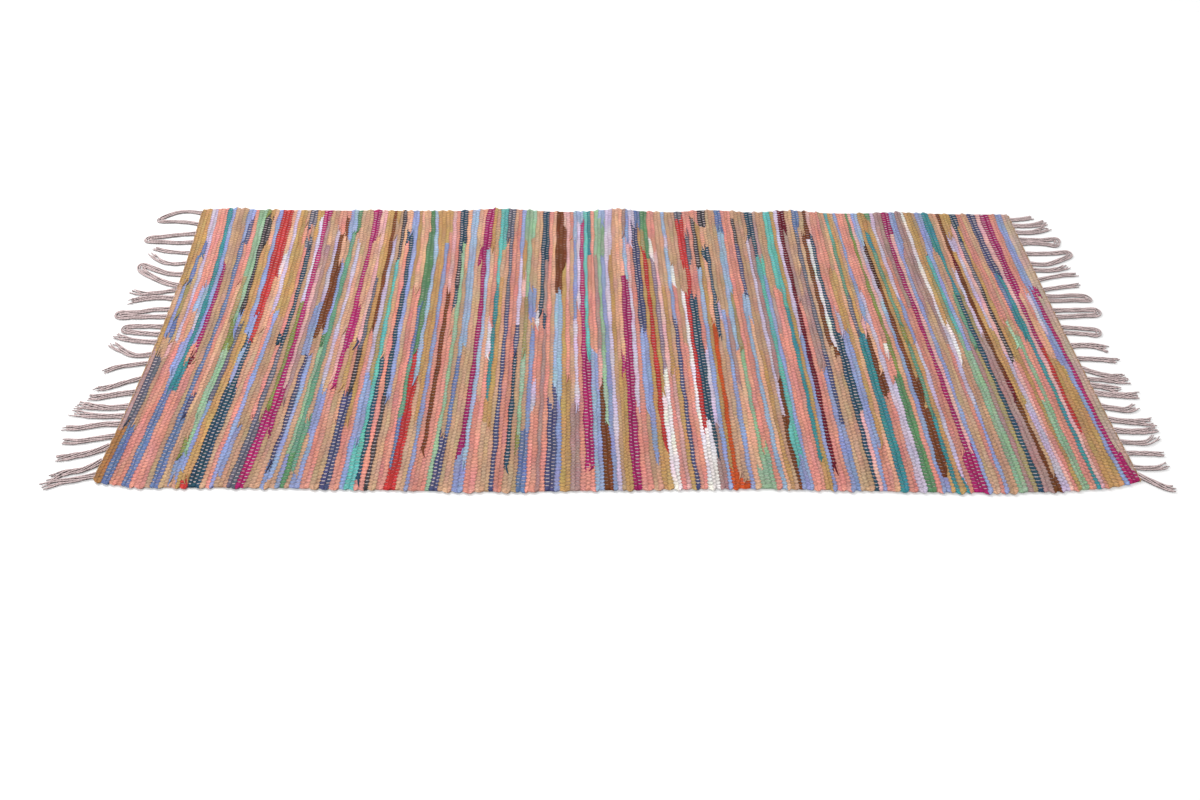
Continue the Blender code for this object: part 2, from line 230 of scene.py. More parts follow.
# The weaver's chart, a line for each row of rag from the left end. A line gives the rags of its
# row from the back selvedge, and after each rag the place where it ends, in centimetres from
# mid-width towards the back. The last rag runs to the front selvedge.
RAG_CHART = """
ochre 14 tan 4 ochre -6 mauve -27 cinnamon
ochre 15 blue -2 tan -7 slate -26 cinnamon
ochre 24 denim 15 olive 4 denim -2 tan -8 slate -26 denim
lilac 29 denim 24 tan -4 pink -8 tan -26 denim
lilac -3 salmon
salmon
salmon 14 sky 6 peach -3 blue -12 salmon
salmon 14 sky 5 lilac 0 blue -15 denim
teal -17 denim
blue -4 salmon -9 teal -17 salmon
tan 21 magenta -5 salmon -7 darkred -10 salmon
tan -9 salmon
tan
blue 29 denim
blue 37 navy 28 salmon -18 navy -24 denim
salmon 15 peach -22 tan
sage 17 olive 3 tan
sage 3 leaf -6 sage -24 tan -29 leaf -34 blue -39 tan
leaf 39 charcoal 6 blue -1 leaf -5 sage -33 blue -39 tan
ochre 38 charcoal 28 ochre 2 slate -20 blue -37 ochre
peach 28 ochre -39 red
blue -1 ochre -39 red
red 5 blue -2 petrol -5 blue -15 petrol
red -3 petrol
red 17 peach -16 petrol
peach 25 white 18 peach 0 tan
lilac 6 salmon
ochre 6 blue
ochre 4 tan -26 blue -38 tan
tan 36 salmon 28 ochre 4 tan
slate 34 salmon 31 slate 27 salmon -1 petrol -4 salmon -24 tan
slate 35 tan 31 slate 27 petrol -5 slate
ochre 30 tan -24 slate
ochre 38 lilac 9 leaf -22 magenta
magenta
magenta 37 mauve 20 pink -16 magenta -28 tan
tan 31 peach 28 mauve -20 tan
tan 8 blue -7 tan
salmon 34 lilac 9 blue -7 navy -36 blue
salmon 32 brown -2 tan -7 blue -39 tan
salmon 38 brown 31 peach 22 brown 1 tan
blue 30 tan 22 blue -1 green -4 sage -33 blue
sky 33 seagreen -33 green
green 33 tan -24 seagreen -37 tan
tan 29 lilac -15 blue -28 tan -38 blue
tan 25 peach -17 blue
tan 0 pink -14 salmon
magenta -16 salmon
magenta 30 peach 8 magenta -5 tan
pink 32 peach -3 ochre -16 peach -25 tan
pink -3 navy -4 salmon -17 navy
ochre 17 slate -5 charcoal -17 navy
ochre -25 salmon
brown 1 salmon
ochre 37 tan 31 lilac -12 blue
tan 22 olive -14 blue -30 turquoise
charcoal 23 turquoise
peach -7 petrol -39 salmon
peach 33 petrol 29 salmon
blue 33 petrol -18 charcoal
blue -19 tan
ochre 13 tan
peach 13 salmon
peach 13 salmon
peach 33 green 8 denim -8 seagreen -24 denim -36 red
green -6 red
sky -14 red
ochre -14 tan
ochre -25 tan
ochre 29 blue
ochre 33 salmon
pink 13 brown -32 salmon
salmon
petrol 27 charcoal 14 petrol 7 peach 0 salmon
petrol 29 sage
peach 20 tan -28 navy
sky -7 denim -28 navy
sky -4 tan
tan
peach 28 magenta 22 tan
magenta -33 blue
magenta 27 sky -35 blue
ochre 27 peach -18 salmon
tan 25 salmon 3 white -7 salmon
turquoise 15 teal -19 ochre -25 tan
turquoise 27 tan 17 ochre -25 tan
slate 30 peach -5 tan
slate 7 navy
peach 33 salmon
salmon
blue 24 lilac 2 navy -6 petrol -36 tan
sage 30 ochre 18 pink 11 tan
sage 11 olive -6 sage -28 leaf -32 tan
sage 31 tan 14 blue 4 tan -27 denim
tan 14 blue 4 tan 2 blue -27 denim
peach 7 white 2 salmon -14 lilac -22 salmon
petrol 6 salmon
petrol 23 mauve 6 petrol 1 mauve
salmon
peach 12 tan -20 navy
brown 12 sky -16 navy
brown 13 sky -19 blue
pink 35 brown 21 ochre
pink 10 salmon -13 ochre
salmon 31 tan -20 mauve
sky 30 blue 4 lilac -21 mauve
sky 37 lilac 8 salmon
sky 37 magenta -36 salmon
turquoise -7 magenta -36 salmon
teal 25 salmon -5 sky
salmon -6 blue
sage 25 mauve -5 pink -15 brown
sky 38 sage -5 mint -25 brown
blue 36 sage 25 blue
lilac
lilac 25 ochre -6 tan
peach -8 ochre
peach -7 magenta -12 ochre
peach 18 magenta
mauve 32 sky 17 magenta
blue 30 pink 14 lilac -21 salmon
lilac 29 salmon
lilac 36 navy 1 blue -22 tan
denim 36 navy 0 blue -34 tan
denim 35 ochre
green 34 olive 27 red -31 ochre
green 24 ochre -17 white
salmon 31 white 24 plum -11 white
salmon 26 pink -12 salmon
tan 15 ochre -12 pink
tan -10 ochre
sky 33 lilac 28 sky 14 blue 4 navy
tan 22 white 15 salmon
tan -3 salmon
tan 13 white
slate 38 red 22 tan 13 red -26 white
slate 38 red 12 petrol -24 white
salmon 33 slate 22 salmon 11 petrol -33 mauve
salmon -5 lilac -25 mauve
salmon 38 charcoal 21 sky 3 blue
salmon 36 ochre -36 orange
charcoal 35 peach 28 petrol 24 peach 3 orange
charcoal 35 tan 28 petrol -1 tan -38 orange
tan 10 lilac 4 tan -39 orange
tan 7 blue
tan 5 mauve -15 peach
denim 34 sky -5 peach -36 sage
denim 34 sky 13 olive -5 sage
salmon -31 sage
salmon
salmon 12 sky
tan 38 charcoal 29 navy 12 sky 4 peach
tan -5 ochre
tan
tan 31 lilac -23 brown
petrol 31 mauve -13 brown -25 turquoise -35 blue
petrol 25 turquoise -33 blue
mauve 24 turquoise 18 blue
tan 12 mauve 0 salmon
tan 15 salmon
turquoise 14 salmon
turquoise 8 teal -34 ochre
ochre
lilac 0 blue
darkred -36 salmon
darkred 34 mauve 10 salmon
tan 12 mauve -10 salmon
tan 20 mauve -10 blue
denim 33 slate -6 navy -25 blue
denim 36 tan
tan 33 brown -4 tan
brown 31 white -4 brown -7 tan
pink 33 petrol
salmon 0 petrol -22 pink
salmon 7 lilac 0 blue
salmon 21 ochre 1 blue -31 salmon
tan 20 ochre -30 salmon
peach
turquoise 30 seagreen 12 slate 0 teal
ochre 0 teal
tan 5 pink 0 brown -18 salmon
blue 4 peach -11 brown -17 salmon
salmon 14 lilac
salmon -14 lilac
salmon -3 white -6 salmon -12 green
green 31 leaf -11 green
pink 0 peach -25 salmon
blue 28 lilac 10 sky 0 blue
sky 29 darkbrown 15 brown -38 blue
ochre -13 brown -18 ochre -21 brown -36 ochre
ochre 34 teal 27 seagreen 3 leaf -2 seagreen -22 teal
green 38 ochre
lilac 12 blue -2 lilac -38 teal
mauve 25 salmon
mauve 8 salmon -32 magenta
magenta
magenta 33 pink -31 magenta
blue
blue 28 mauve 5 tan
mauve 10 tan
mauve -3 salmon
white 2 lilac -20 blue
ochre 3 white -8 tan
ochre 22 olive 0 tan
tan 26 turquoise 0 sage
blue -5 sage
blue 27 tan 5 mauve
teal 27 tan 12 seagreen -4 olive
teal 12 petrol
tan 13 olive -1 mauve
peach 21 lilac 0 mauve
brown 25 darkred 20 brown -12 darkred -18 brown
ochre 32 lilac 27 ochre -24 tan -37 brown
ochre 33 lilac 2 ochre -20 lilac
ochre 36 pink -6 lilac
petrol 31 slate 14 charcoal -8 pink
petrol 36 ochre -8 salmon
salmon 3 ochre
salmon 4 mint -4 salmon -19 sage
tan 0 sage
tan 20 salmon
navy 19 denim 8 teal -1 salmon
navy 19 teal
pink
magenta -4 red -27 salmon
magenta 13 peach -6 ochre
salmon 5 peach -7 ochre
salmon 13 lilac 0 blue -9 ochre
blue
blue 14 magenta
beige 15 magenta 12 beige -32 magenta
beige -36 magenta
"""

# The fringe: each lock from the back, in millimetres: y where it leaves the heading, y at a third
# and at two thirds of its reach, y of its tip, and how far its tip reaches from the heading.
# A lock that turns back is the first half of a loop, and the next lock is the other half.
Lock = namedtuple("Lock", "root near far tip reach turns_back", defaults=(False,))
LEFT_LOCKS = (
    Lock(401, 406, 402, 381, 71, True),
    Lock(359, 366, 368, 369, 72),
    Lock(325, 320, 314, 307, 82, True),
    Lock(293, 291, 293, 296, 81),
    Lock(255, 257, 262, 272, 71),
    Lock(220, 217, 228, 257, 74),
    Lock(182, 184, 198, 212, 77, True),
    Lock(144, 154, 172, 196, 77),
    Lock(131, 122, 118, 126, 80),
    Lock(103, 105, 101, 92, 79),
    Lock(69, 67, 58, 57, 81, True),
    Lock(45, 45, 44, 44, 81),
    Lock(15, 16, 16, 14, 60, True),
    Lock(-8, -6, -3, 2, 60),
    Lock(-31, -29, -23, -11, 75),
    Lock(-66, -70, -54, -32, 78),
    Lock(-91, -96, -103, -118, 70),
    Lock(-133, -145, -158, -163, 70),
    Lock(-171, -176, -183, -186, 73),
    Lock(-208, -212, -209, -204, 84),
    Lock(-233, -234, -231, -222, 86),
    Lock(-253, -255, -263, -264, 88),
    Lock(-283, -290, -297, -296, 79),
    Lock(-308, -324, -332, -339, 73),
    Lock(-343, -364, -371, -388, 71),
    Lock(-376, -386, -393, -405, 74),
)
RIGHT_LOCKS = (
    Lock(393, 395, 399, 405, 45),
    Lock(372, 371, 376, 387, 70),
    Lock(347, 346, 352, 368, 68),
    Lock(320, 319, 319, 322, 71, True),
    Lock(305, 307, 305, 300, 63),
    Lock(269, 269, 271, 275, 78, True),
    Lock(234, 231, 243, 262, 80),
    Lock(212, 210, 215, 229, 71),
    Lock(177, 187, 195, 197, 79),
    Lock(144, 151, 157, 162, 74),
    Lock(124, 124, 127, 125, 70, True),
    Lock(109, 109, 111, 111, 73),
    Lock(78, 79, 80, 80, 76, True),
    Lock(57, 59, 62, 65, 73),
    Lock(26, 24, 21, 17, 60, True),
    Lock(9, 7, 5, 2, 55),
    Lock(-31, -29, -31, -41, 63),
    Lock(-68, -69, -71, -75, 71),
    Lock(-96, -110, -118, -116, 66),
    Lock(-126, -128, -132, -131, 69),
    Lock(-143, -146, -151, -158, 45),
    Lock(-164, -169, -171, -170, 75),
    Lock(-200, -206, -209, -197, 58),
    Lock(-234, -239, -241, -240, 73),
    Lock(-262, -265, -264, -258, 70),
    Lock(-291, -293, -292, -275, 64),
    Lock(-319, -319, -320, -321, 61),
    Lock(-352, -355, -354, -346, 55),
    Lock(-371, -386, -400, -403, 49),
)
HEADING_GAP = 0.0003
HEADING_WIDTH = 0.005
LOCK_OFFSETS = (0.2, 0.5, 0.8, 1.0)  # share of the heading's width that a lock's points lie past
TWINE_PITCH = 0.0084
TWINE_SWING = 0.32  # how far a strip swings about the heading's middle line, in yarn diameters
TWINE_OUT = 0.6  # how far out from the cloth that line lies, in yarn diameters
TWINE_UP = 0.85  # how high it lies, in yarn diameters
TWINE_INSET = 0.002  # how far inside the selvedges the strips start and end
TWINE_STEP = 0.0012
TWINE_SIDES = 5
YARN_SIDES = 6
YARN_STATIONS = 22
YARN_WANDER = 0.0005
YARN_WANDER_WAVES = 2.6
YARN_LIFT = 0.52  # height of the lowest yarn's middle, in yarn diameters
YARN_TAPER = 0.35  # share of its thickness that a yarn loses at its tip
YARN_TAPER_POWER = 6
LOCK_TURNS = (0.25, 0.75)  # how far the yarns of a lock wind round each other, at least and at most
LOCK_WIDTH = 1.75  # a lock's half width without its yarns, in yarn diameters
LOCK_DEPTH = 0.42  # the same for its half height, at its root
LOCK_SETTLING = 0.5  # share of that height that is gone at its tip
LOCK_FORK = 0.45  # how much a lock opens at a free tip, on average, as a share of its width
LOCK_ROOT_SPREAD = 0.4  # how much a lock spreads at its root, as a share of its width
LOCK_SWELL = (0.8, 1.2)  # how wide a lock is at its root and at its tip
LOCK_GATHER = 0.16  # share of its reach in which a lock draws together
SHORTEST_YARN = 0.88

# The camera, at the photo's viewing angle, fitted to the four corners of the cloth
CAMERA_PLACE = Vector((-0.077, -1.965, 1.411))
CAMERA_PITCH = math.radians(38.39)
CAMERA_YAW = math.radians(1.61)
CAMERA_ROLL = math.radians(1.19)
CAMERA_LENS = 41.316
CAMERA_SENSOR = 36.0

# The studio: its floor, an even surround, a lamp in front and a broad one behind
FLOOR_SIZE = 40
FLOOR_HEIGHT = -0.0002
SURROUND_STRENGTH = 0.56
FRONT_LAMP_STRENGTH = 1.55
FRONT_LAMP_SPREAD = math.radians(14)
FRONT_LAMP_TURN = (math.radians(38), math.radians(-22), 0)
BACK_LAMP_POWER = 55
BACK_LAMP_SIZE = 1.6
BACK_LAMP_PLACE = Vector((-1.7, 1.3, 2.2))

COLOUR_LAYER = "dye"
BODY = "root"


class WeaveSizes(bpy.types.PropertyGroup):
    """Sizes of the woven cloth's rows and warp ends."""

    crest: FloatProperty(
        name="Row crest",
        description="Height of a rag row's crest above the floor",
        default=0.0058,
        unit="LENGTH",
    )
    press: FloatProperty(
        name="Press",
        description="How deep a warp end presses into the rag that it crosses",
        default=0.0015,
        unit="LENGTH",
    )
    row_overlap: FloatProperty(
        name="Row overlap",
        description="Width of a row as a share of its pitch",
        default=1.06,
        subtype="FACTOR",
    )
    warp_width: FloatProperty(
        name="Warp width",
        description="Width of a warp end where it bites hardest",
        default=0.0038,
        unit="LENGTH",
    )
    warp_height: FloatProperty(
        name="Warp height",
        description="How far a warp end stands out of the rag that it presses down",
        default=0.0013,
        unit="LENGTH",
    )
    wobble: FloatProperty(
        name="Wobble",
        description="How far the join between two rows strays",
        default=0.0026,
        unit="LENGTH",
    )
    interlock: FloatProperty(
        name="Interlock",
        description="How far a row swells into its neighbour between two warp ends",
        default=0.0009,
        unit="LENGTH",
    )
    tail_length: FloatProperty(
        name="Tail length",
        description="Length of the loose end that some rags leave on top",
        default=0.020,
        unit="LENGTH",
    )


class FringeSizes(bpy.types.PropertyGroup):
    """Sizes of the fringe."""

    yarn: FloatProperty(
        name="Yarn",
        description="Diameter of a plied fringe yarn",
        default=0.0027,
        unit="LENGTH",
    )
    yarns: IntProperty(
        name="Yarns in a lock",
        description="Number of warp ends that gather in a lock of middle size",
        default=6,
    )


class RugLooks(bpy.types.PropertyGroup):
    """Colours and light."""

    brightness: FloatProperty(
        name="Dye brightness",
        description="Factor on the brightness of every rag",
        default=0.80,
        subtype="FACTOR",
    )
    fringe_colour: FloatVectorProperty(
        name="Fringe colour",
        description="Colour of the warp yarn in the fringe, greyed by handling",
        default=(0.63, 0.49, 0.485),
        subtype="COLOR",
    )
    yarn_colour: FloatVectorProperty(
        name="Yarn colour",
        description="Colour of the warp yarn in the cloth",
        default=(0.53, 0.43, 0.43),
        subtype="COLOR",
    )
    heading_colour: FloatVectorProperty(
        name="Heading colour",
        description="Colour of the twine along the two ends",
        default=(0.46, 0.27, 0.14),
        subtype="COLOR",
    )
    floor_colour: FloatVectorProperty(
        name="Floor colour",
        description="Colour of the studio floor",
        default=(0.93, 0.93, 0.93),
        subtype="COLOR",
    )


# Shapes of the cloth

def left_end(across):
    """X of the left end: a parabola from -1 at the front corner to 1 at the back one."""
    return -END_CORNER + LEFT_BOW * (1 - across**2)


def right_end(across):
    """X of the right end: a shallow parabola, and a straight lean."""
    return END_CORNER - RIGHT_BOW * (1 - across**2) - RIGHT_SKEW * across


def front_selvedge(x):
    """Y of the front selvedge: a slow cosine that dies out at the corners, which draw in."""
    corner = np.abs(x / END_CORNER) ** CORNER_SHARPNESS
    sway = EDGE_SWAY * np.cos(math.tau * (x - EDGE_SWAY_START) / EDGE_SWAY_LENGTH)
    return FRONT_EDGE - sway * (1 - corner) + FRONT_CORNER_RISE * corner


def hump_lift(x, y):
    """Height of the cloth over the floor: bells along the back selvedge, eased out inwards."""
    inwards = np.clip((y - (BACK_EDGE - HUMP_REACH)) / HUMP_REACH, 0, 1)
    fade = inwards * inwards * (3 - 2 * inwards)
    bells = sum(h.lift * np.exp(-(((x - h.x) / h.spread) ** 2)) for h in BACK_HUMPS)
    return fade * bells


def sway_table():
    """Rows of x and five offsets, in metres: the table, between the two ends' own curves."""
    levels = np.array(SWAY_LEVELS)
    middle = (FRONT_EDGE + BACK_EDGE) / 2
    half = (BACK_EDGE - FRONT_EDGE) / 2
    across = (levels - middle) / half
    rows = [(left_end(-middle / half), *(left_end(across) - left_end(-middle / half)))]
    for s in ROW_SWAYS:
        rows.append(np.array((s.x, s.back, s.mid_back, 0, s.mid_front, s.front)) * MM)
    rows.append((right_end(-middle / half), *(right_end(across) - right_end(-middle / half))))
    return np.array(rows)


def row_place(row, across):
    """X and Y in the cloth, row from 0 to WEFT_ROWS and across from 0 at the front to 1.

    The row's place at mid-width plus its sway: straight lines between the table's rows, and
    Lagrange's polynomial through the five levels across.
    """
    table = sway_table()
    x_mid = table[0, 0] + (table[-1, 0] - table[0, 0]) * row / WEFT_ROWS
    y = front_selvedge(x_mid) + across * (BACK_EDGE - front_selvedge(x_mid))
    sway = 0.0
    for i, level in enumerate(SWAY_LEVELS):
        others = [other for other in SWAY_LEVELS if other != level]
        weight = math.prod((y - other) / (level - other) for other in others)
        sway = sway + weight * np.interp(x_mid, table[:, 0], table[:, i + 1])
    x = x_mid + sway
    return x, front_selvedge(x) + across * (BACK_EDGE - front_selvedge(x))


def warp_lines():
    """Where the warp ends lie across the cloth, as shares of its width."""
    return np.linspace(FIRST_WARP_END, 1 - FIRST_WARP_END, WARP_ENDS)


def row_lines():
    """Where a row has its sections: the rounded ends at both selvedges and every warp end."""
    edge = np.array(EDGE_LINES)
    return np.concatenate([edge, warp_lines(), 1 - edge[::-1]])


def smooth_noise(rng, lines, count, waves):
    """Rows of gentle random curves over the lines: sums of sines with random phases."""
    curves = np.zeros((count, len(lines)))
    for cycles in waves:
        phase = rng.uniform(0, math.tau, (count, 1))
        strength = rng.uniform(0.4, 1.0, (count, 1))
        curves += strength * np.sin(math.tau * cycles * lines[None, :] + phase)
    return curves / len(waves)


def turn_out(row, rng):
    """How far the selvedge stands out at a row: every two rows turn in one rounded loop.

    The loops are arches of a sine, and each is a little deeper or shallower than the next. The
    whole selvedge wanders in and out in slow waves.
    """
    loops = 1 + TURN_UNEVENNESS * rng.uniform(-1, 1, WEFT_ROWS // 2 + 2)
    depth = loops[np.floor(row / 2).astype(int)]
    arches = TURN_DEPTH * depth * np.abs(np.sin(math.pi * row / 2))
    length = np.linspace(0, 1, WEFT_ROWS + 2)
    wander = smooth_noise(rng, length, 1, SELVEDGE_WAVES)[0]
    return arches + SELVEDGE_WANDER * np.interp(row, np.arange(WEFT_ROWS + 2), wander)


# The weaver's chart

def linear(rag):
    """A rag's dye, washed out, as linear light: the usual two-part display curve, undone."""
    share = np.array((rag.red, rag.green, rag.blue)) / 255
    share = share + (share.mean() - share) * WASHED_OUT
    return np.where(share <= 0.04045, share / 12.92, ((share + 0.055) / 1.055) ** 2.4)


def charted_rows():
    """The chart as a list for each row: pairs of a rag's name and the y where it ends."""
    rows = []
    for line in RAG_CHART.strip().splitlines():
        words = line.split()
        ends = [float(word) / 100 for word in words[1::2]] + [-1.0]
        rows.append(list(zip(words[0::2], ends)))
    if len(rows) != WEFT_ROWS:
        raise RuntimeError(f"the chart has {len(rows)} rows and the rug {WEFT_ROWS}")
    return rows


def rag_colours(y, shares):
    """Dye colours for an array of y, rows by places, at each of the shares across a row.

    Each rag has a tone of its own and ends on a slant. The tone drifts along the row in three
    smooth curves, one for each part of the colour.
    """
    rng = np.random.default_rng(11)
    shares = np.asarray(shares)
    colours = np.zeros((*y.shape, len(shares), 3))
    for row, rags in enumerate(charted_rows()):
        start = np.ones(len(shares))
        for name, place in rags:
            tone = rng.uniform(*RAG_TONES) * rng.uniform(*RAG_TINTS, 3)
            end = place + shares * rng.uniform(-LONGEST_SLANT, LONGEST_SLANT)
            inside = (y[row][:, None] <= start) & (y[row][:, None] > end)
            colours[row, inside] = linear(RAGS[name]) * tone
            start = end
    phase = rng.uniform(0, math.tau, (len(y), 1, 3))
    slow = np.sin(math.tau * y[..., None] / SLOW_DRIFT_LENGTH + phase)
    quick = np.sin(math.tau * y[..., None] / QUICK_DRIFT_LENGTH + 2 * phase)
    return colours * (1 + TONE_DRIFT * (slow + quick))[:, :, None, :]


def rag_bites(y):
    """How hard the warp bites at each y of each row."""
    bites = np.zeros(y.shape)
    for row, rags in enumerate(charted_rows()):
        start = 1.0
        for name, end in rags:
            inside = (y[row] <= start) & (y[row] > end)
            bites[row, inside] = RAGS[name].bite
            start = end
    return bites


def press_share(bite):
    """How deep a warp end presses a rag, from LEAST_PRESS for no bite to 1 for a full one."""
    return LEAST_PRESS + (1 - LEAST_PRESS) * bite


# Meshes

def new_piece(name, points, faces, material):
    """A smooth mesh object from an array of points and arrays of faces with 3 or more corners."""
    mesh = bpy.data.meshes.new(name)
    corners = np.concatenate([group.ravel() for group in faces]).astype(np.int32)
    sizes = np.concatenate([np.full(len(group), group.shape[1]) for group in faces])
    starts = np.concatenate([[0], np.cumsum(sizes)[:-1]]).astype(np.int32)
    mesh.vertices.add(len(points))
    mesh.vertices.foreach_set("co", np.asarray(points, np.float32).ravel())
    mesh.loops.add(len(corners))
    mesh.loops.foreach_set("vertex_index", corners)
    mesh.polygons.add(len(sizes))
    mesh.polygons.foreach_set("loop_start", starts)
    mesh.update(calc_edges=True)
    mesh.validate()
    mesh.shade_smooth()
    mesh.set_sharp_from_angle(angle=CREASE_ANGLE)
    mesh.materials.append(material)
    piece = bpy.data.objects.new(name, mesh)
    bpy.context.scene.collection.objects.link(piece)
    return piece


def dye_corners(piece, colours):
    """Gives the corners of a piece's faces their colours; colours has a row for each corner."""
    opaque = np.concatenate([colours, np.ones((len(colours), 1))], axis=1)
    colour_layers = piece.data.color_attributes
    layer = colour_layers.new(name=COLOUR_LAYER, type="FLOAT_COLOR", domain="CORNER")
    layer.data.foreach_set("color", opaque.astype(np.float32).ravel())


def tube_faces(tubes, stations, sides):
    """Quads round the tubes and a cap at each end, for points numbered tube, station, side."""
    number = np.arange(tubes * stations * sides).reshape(tubes, stations, sides)
    ahead = np.roll(number, -1, axis=2)
    quads = np.stack([number[:, :-1], ahead[:, :-1], ahead[:, 1:], number[:, 1:]], axis=-1)
    return quads.reshape(-1, 4), number[:, 0, ::-1], number[:, -1]


def tubes_round(paths, radius, sides):
    """Points of tubes: at each station a circle square to the path, starting at its left side."""
    along = np.gradient(paths, axis=1)
    along /= np.linalg.norm(along, axis=2, keepdims=True)
    left = np.stack([-along[..., 1], along[..., 0], np.zeros(along.shape[:2])], axis=-1)
    left /= np.linalg.norm(left, axis=2, keepdims=True)
    up = np.cross(along, left)
    angle = math.tau * np.arange(sides) / sides
    ring = np.cos(angle)[:, None] * left[:, :, None] + np.sin(angle)[:, None] * up[:, :, None]
    return paths[:, :, None] + radius[..., None, None] * ring


def wind_uv(piece, paths, sides):
    """A UV map for tubes: once round is 1 in U, and V is the length along the path in metres."""
    tubes, stations = paths.shape[:2]
    steps = np.linalg.norm(np.diff(paths, axis=1), axis=2)
    length = np.concatenate([np.zeros((tubes, 1)), np.cumsum(steps, axis=1)], axis=1)
    here = np.broadcast_to(length[:, :-1, None], (tubes, stations - 1, sides))
    ahead = np.broadcast_to(length[:, 1:, None], (tubes, stations - 1, sides))
    start = np.broadcast_to(np.arange(sides) / sides, here.shape)
    end = start + 1 / sides
    corners = [(start, here), (end, here), (end, ahead), (start, ahead)]
    wound = np.stack([np.stack(corner, axis=-1) for corner in corners], axis=-2)
    uv = np.zeros((len(piece.data.loops), 2), np.float32)
    uv[: wound.size // 2] = wound.reshape(-1, 2)
    layer = piece.data.uv_layers.new(name="wind")
    layer.data.foreach_set("uv", uv.ravel())


# Materials

def new_material(name, roughness, sheen):
    """An empty cotton material: its nodes, links and shader."""
    material = bpy.data.materials.new(name)
    material.use_nodes = True
    nodes = material.node_tree.nodes
    shader = nodes["Principled BSDF"]
    shader.inputs["Roughness"].default_value = roughness
    shader.inputs["Sheen Weight"].default_value = sheen
    shader.inputs["Sheen Roughness"].default_value = 0.5
    shader.inputs["Specular IOR Level"].default_value = 0.08
    return material, nodes, material.node_tree.links, shader


def stretched_noise(nodes, links, stretch, scale, detail):
    """Noise on Object coordinates, drawn out along the axes with a small stretch number."""
    place = nodes.new("ShaderNodeTexCoord")
    mapping = nodes.new("ShaderNodeMapping")
    mapping.inputs["Scale"].default_value = stretch
    noise = nodes.new("ShaderNodeTexNoise")
    noise.inputs["Scale"].default_value = scale
    noise.inputs["Detail"].default_value = detail
    links.new(place.outputs["Object"], mapping.inputs["Vector"])
    links.new(mapping.outputs["Vector"], noise.inputs["Vector"])
    return noise.outputs["Fac"]


def remap(nodes, links, value, low, high):
    """A value from 0.3 to 0.7, where noise mostly lies, spread over low to high."""
    node = nodes.new("ShaderNodeMapRange")
    node.inputs["From Min"].default_value = 0.3
    node.inputs["From Max"].default_value = 0.7
    node.inputs["To Min"].default_value = low
    node.inputs["To Max"].default_value = high
    links.new(value, node.inputs["Value"])
    return node.outputs["Result"]


def multiply(nodes, links, first, second):
    """The product of two values."""
    node = nodes.new("ShaderNodeMath")
    node.operation = "MULTIPLY"
    links.new(first, node.inputs[0])
    links.new(second, node.inputs[1])
    return node.outputs["Value"]


def scale_colour(nodes, links, colour, factor):
    """A colour times a value."""
    node = nodes.new("ShaderNodeVectorMath")
    node.operation = "SCALE"
    links.new(colour, node.inputs[0])
    links.new(factor, node.inputs["Scale"])
    return node.outputs["Vector"]


def bumped(nodes, links, shader, height, depth):
    """Raises the surface by a height of 0 to 1, depth metres at most."""
    bump = nodes.new("ShaderNodeBump")
    bump.inputs["Strength"].default_value = 1.0
    bump.inputs["Distance"].default_value = depth
    links.new(height, bump.inputs["Height"])
    links.new(bump.outputs["Normal"], shader.inputs["Normal"])


def rag_material(brightness):
    """Rag strips: the row's dye, faded in places, with creases across the rag and fibres along it.
    The crease tone is partly random mottling and partly painted shade in the creases' hollows.
    """
    material, nodes, links, shader = new_material("rag_cotton_strips", 0.95, 0.06)
    dye = nodes.new("ShaderNodeAttribute")
    dye.attribute_name = COLOUR_LAYER
    creases = stretched_noise(nodes, links, (0.4, 1.0, 1.0), 700.0, 2.0)
    fibres = stretched_noise(nodes, links, (1.0, 0.5, 1.0), 3200.0, 1.0)
    fading = stretched_noise(nodes, links, (1.0, 0.25, 1.0), 60.0, 2.0)
    # The creases' noise, which also bumps the surface, darkens the dye in its hollows and lightens it
    # on its ridges: partly random mottling, partly painted shade and painted highlight
    tone = multiply(
        nodes, links,
        remap(nodes, links, creases, 0.64 * brightness, 1.34 * brightness),
        remap(nodes, links, fading, 0.88, 1.12),
    )
    tone = multiply(nodes, links, tone, remap(nodes, links, fibres, 0.90, 1.10))
    colour = scale_colour(nodes, links, dye.outputs["Color"], tone)
    links.new(colour, shader.inputs["Base Color"])
    bumped(nodes, links, shader, creases, 0.0012)
    return material


def yarn_twist(nodes, links, pitch):
    """0 to 1 over a two-ply yarn: a sine that runs twice round and once along each pitch."""
    place = nodes.new("ShaderNodeTexCoord")
    split = nodes.new("ShaderNodeSeparateXYZ")
    links.new(place.outputs["UV"], split.inputs["Vector"])
    around = nodes.new("ShaderNodeMath")
    around.operation = "MULTIPLY"
    around.inputs[1].default_value = 2 * math.tau
    links.new(split.outputs["X"], around.inputs[0])
    phase = nodes.new("ShaderNodeMath")
    phase.operation = "MULTIPLY_ADD"
    phase.inputs[1].default_value = math.tau / pitch
    links.new(split.outputs["Y"], phase.inputs[0])
    links.new(around.outputs["Value"], phase.inputs[2])
    wave = nodes.new("ShaderNodeMath")
    wave.operation = "SINE"
    links.new(phase.outputs["Value"], wave.inputs[0])
    share = nodes.new("ShaderNodeMath")
    share.operation = "MULTIPLY_ADD"
    share.inputs[1].default_value = 0.5
    share.inputs[2].default_value = 0.5
    links.new(wave.outputs["Value"], share.inputs[0])
    return share.outputs["Value"]


def painted_round_shade(nodes, links):
    """0 to 1 round a tube, from the side to the top, by the sine of the UV map's U: the share used
    for painted shade down a yarn's sides.
    """
    place = nodes.new("ShaderNodeTexCoord")
    split = nodes.new("ShaderNodeSeparateXYZ")
    links.new(place.outputs["UV"], split.inputs["Vector"])
    angle = nodes.new("ShaderNodeMath")
    angle.operation = "MULTIPLY"
    angle.inputs[1].default_value = math.tau
    links.new(split.outputs["X"], angle.inputs[0])
    wave = nodes.new("ShaderNodeMath")
    wave.operation = "SINE"
    wave.use_clamp = True
    links.new(angle.outputs["Value"], wave.inputs[0])
    return wave.outputs["Value"]


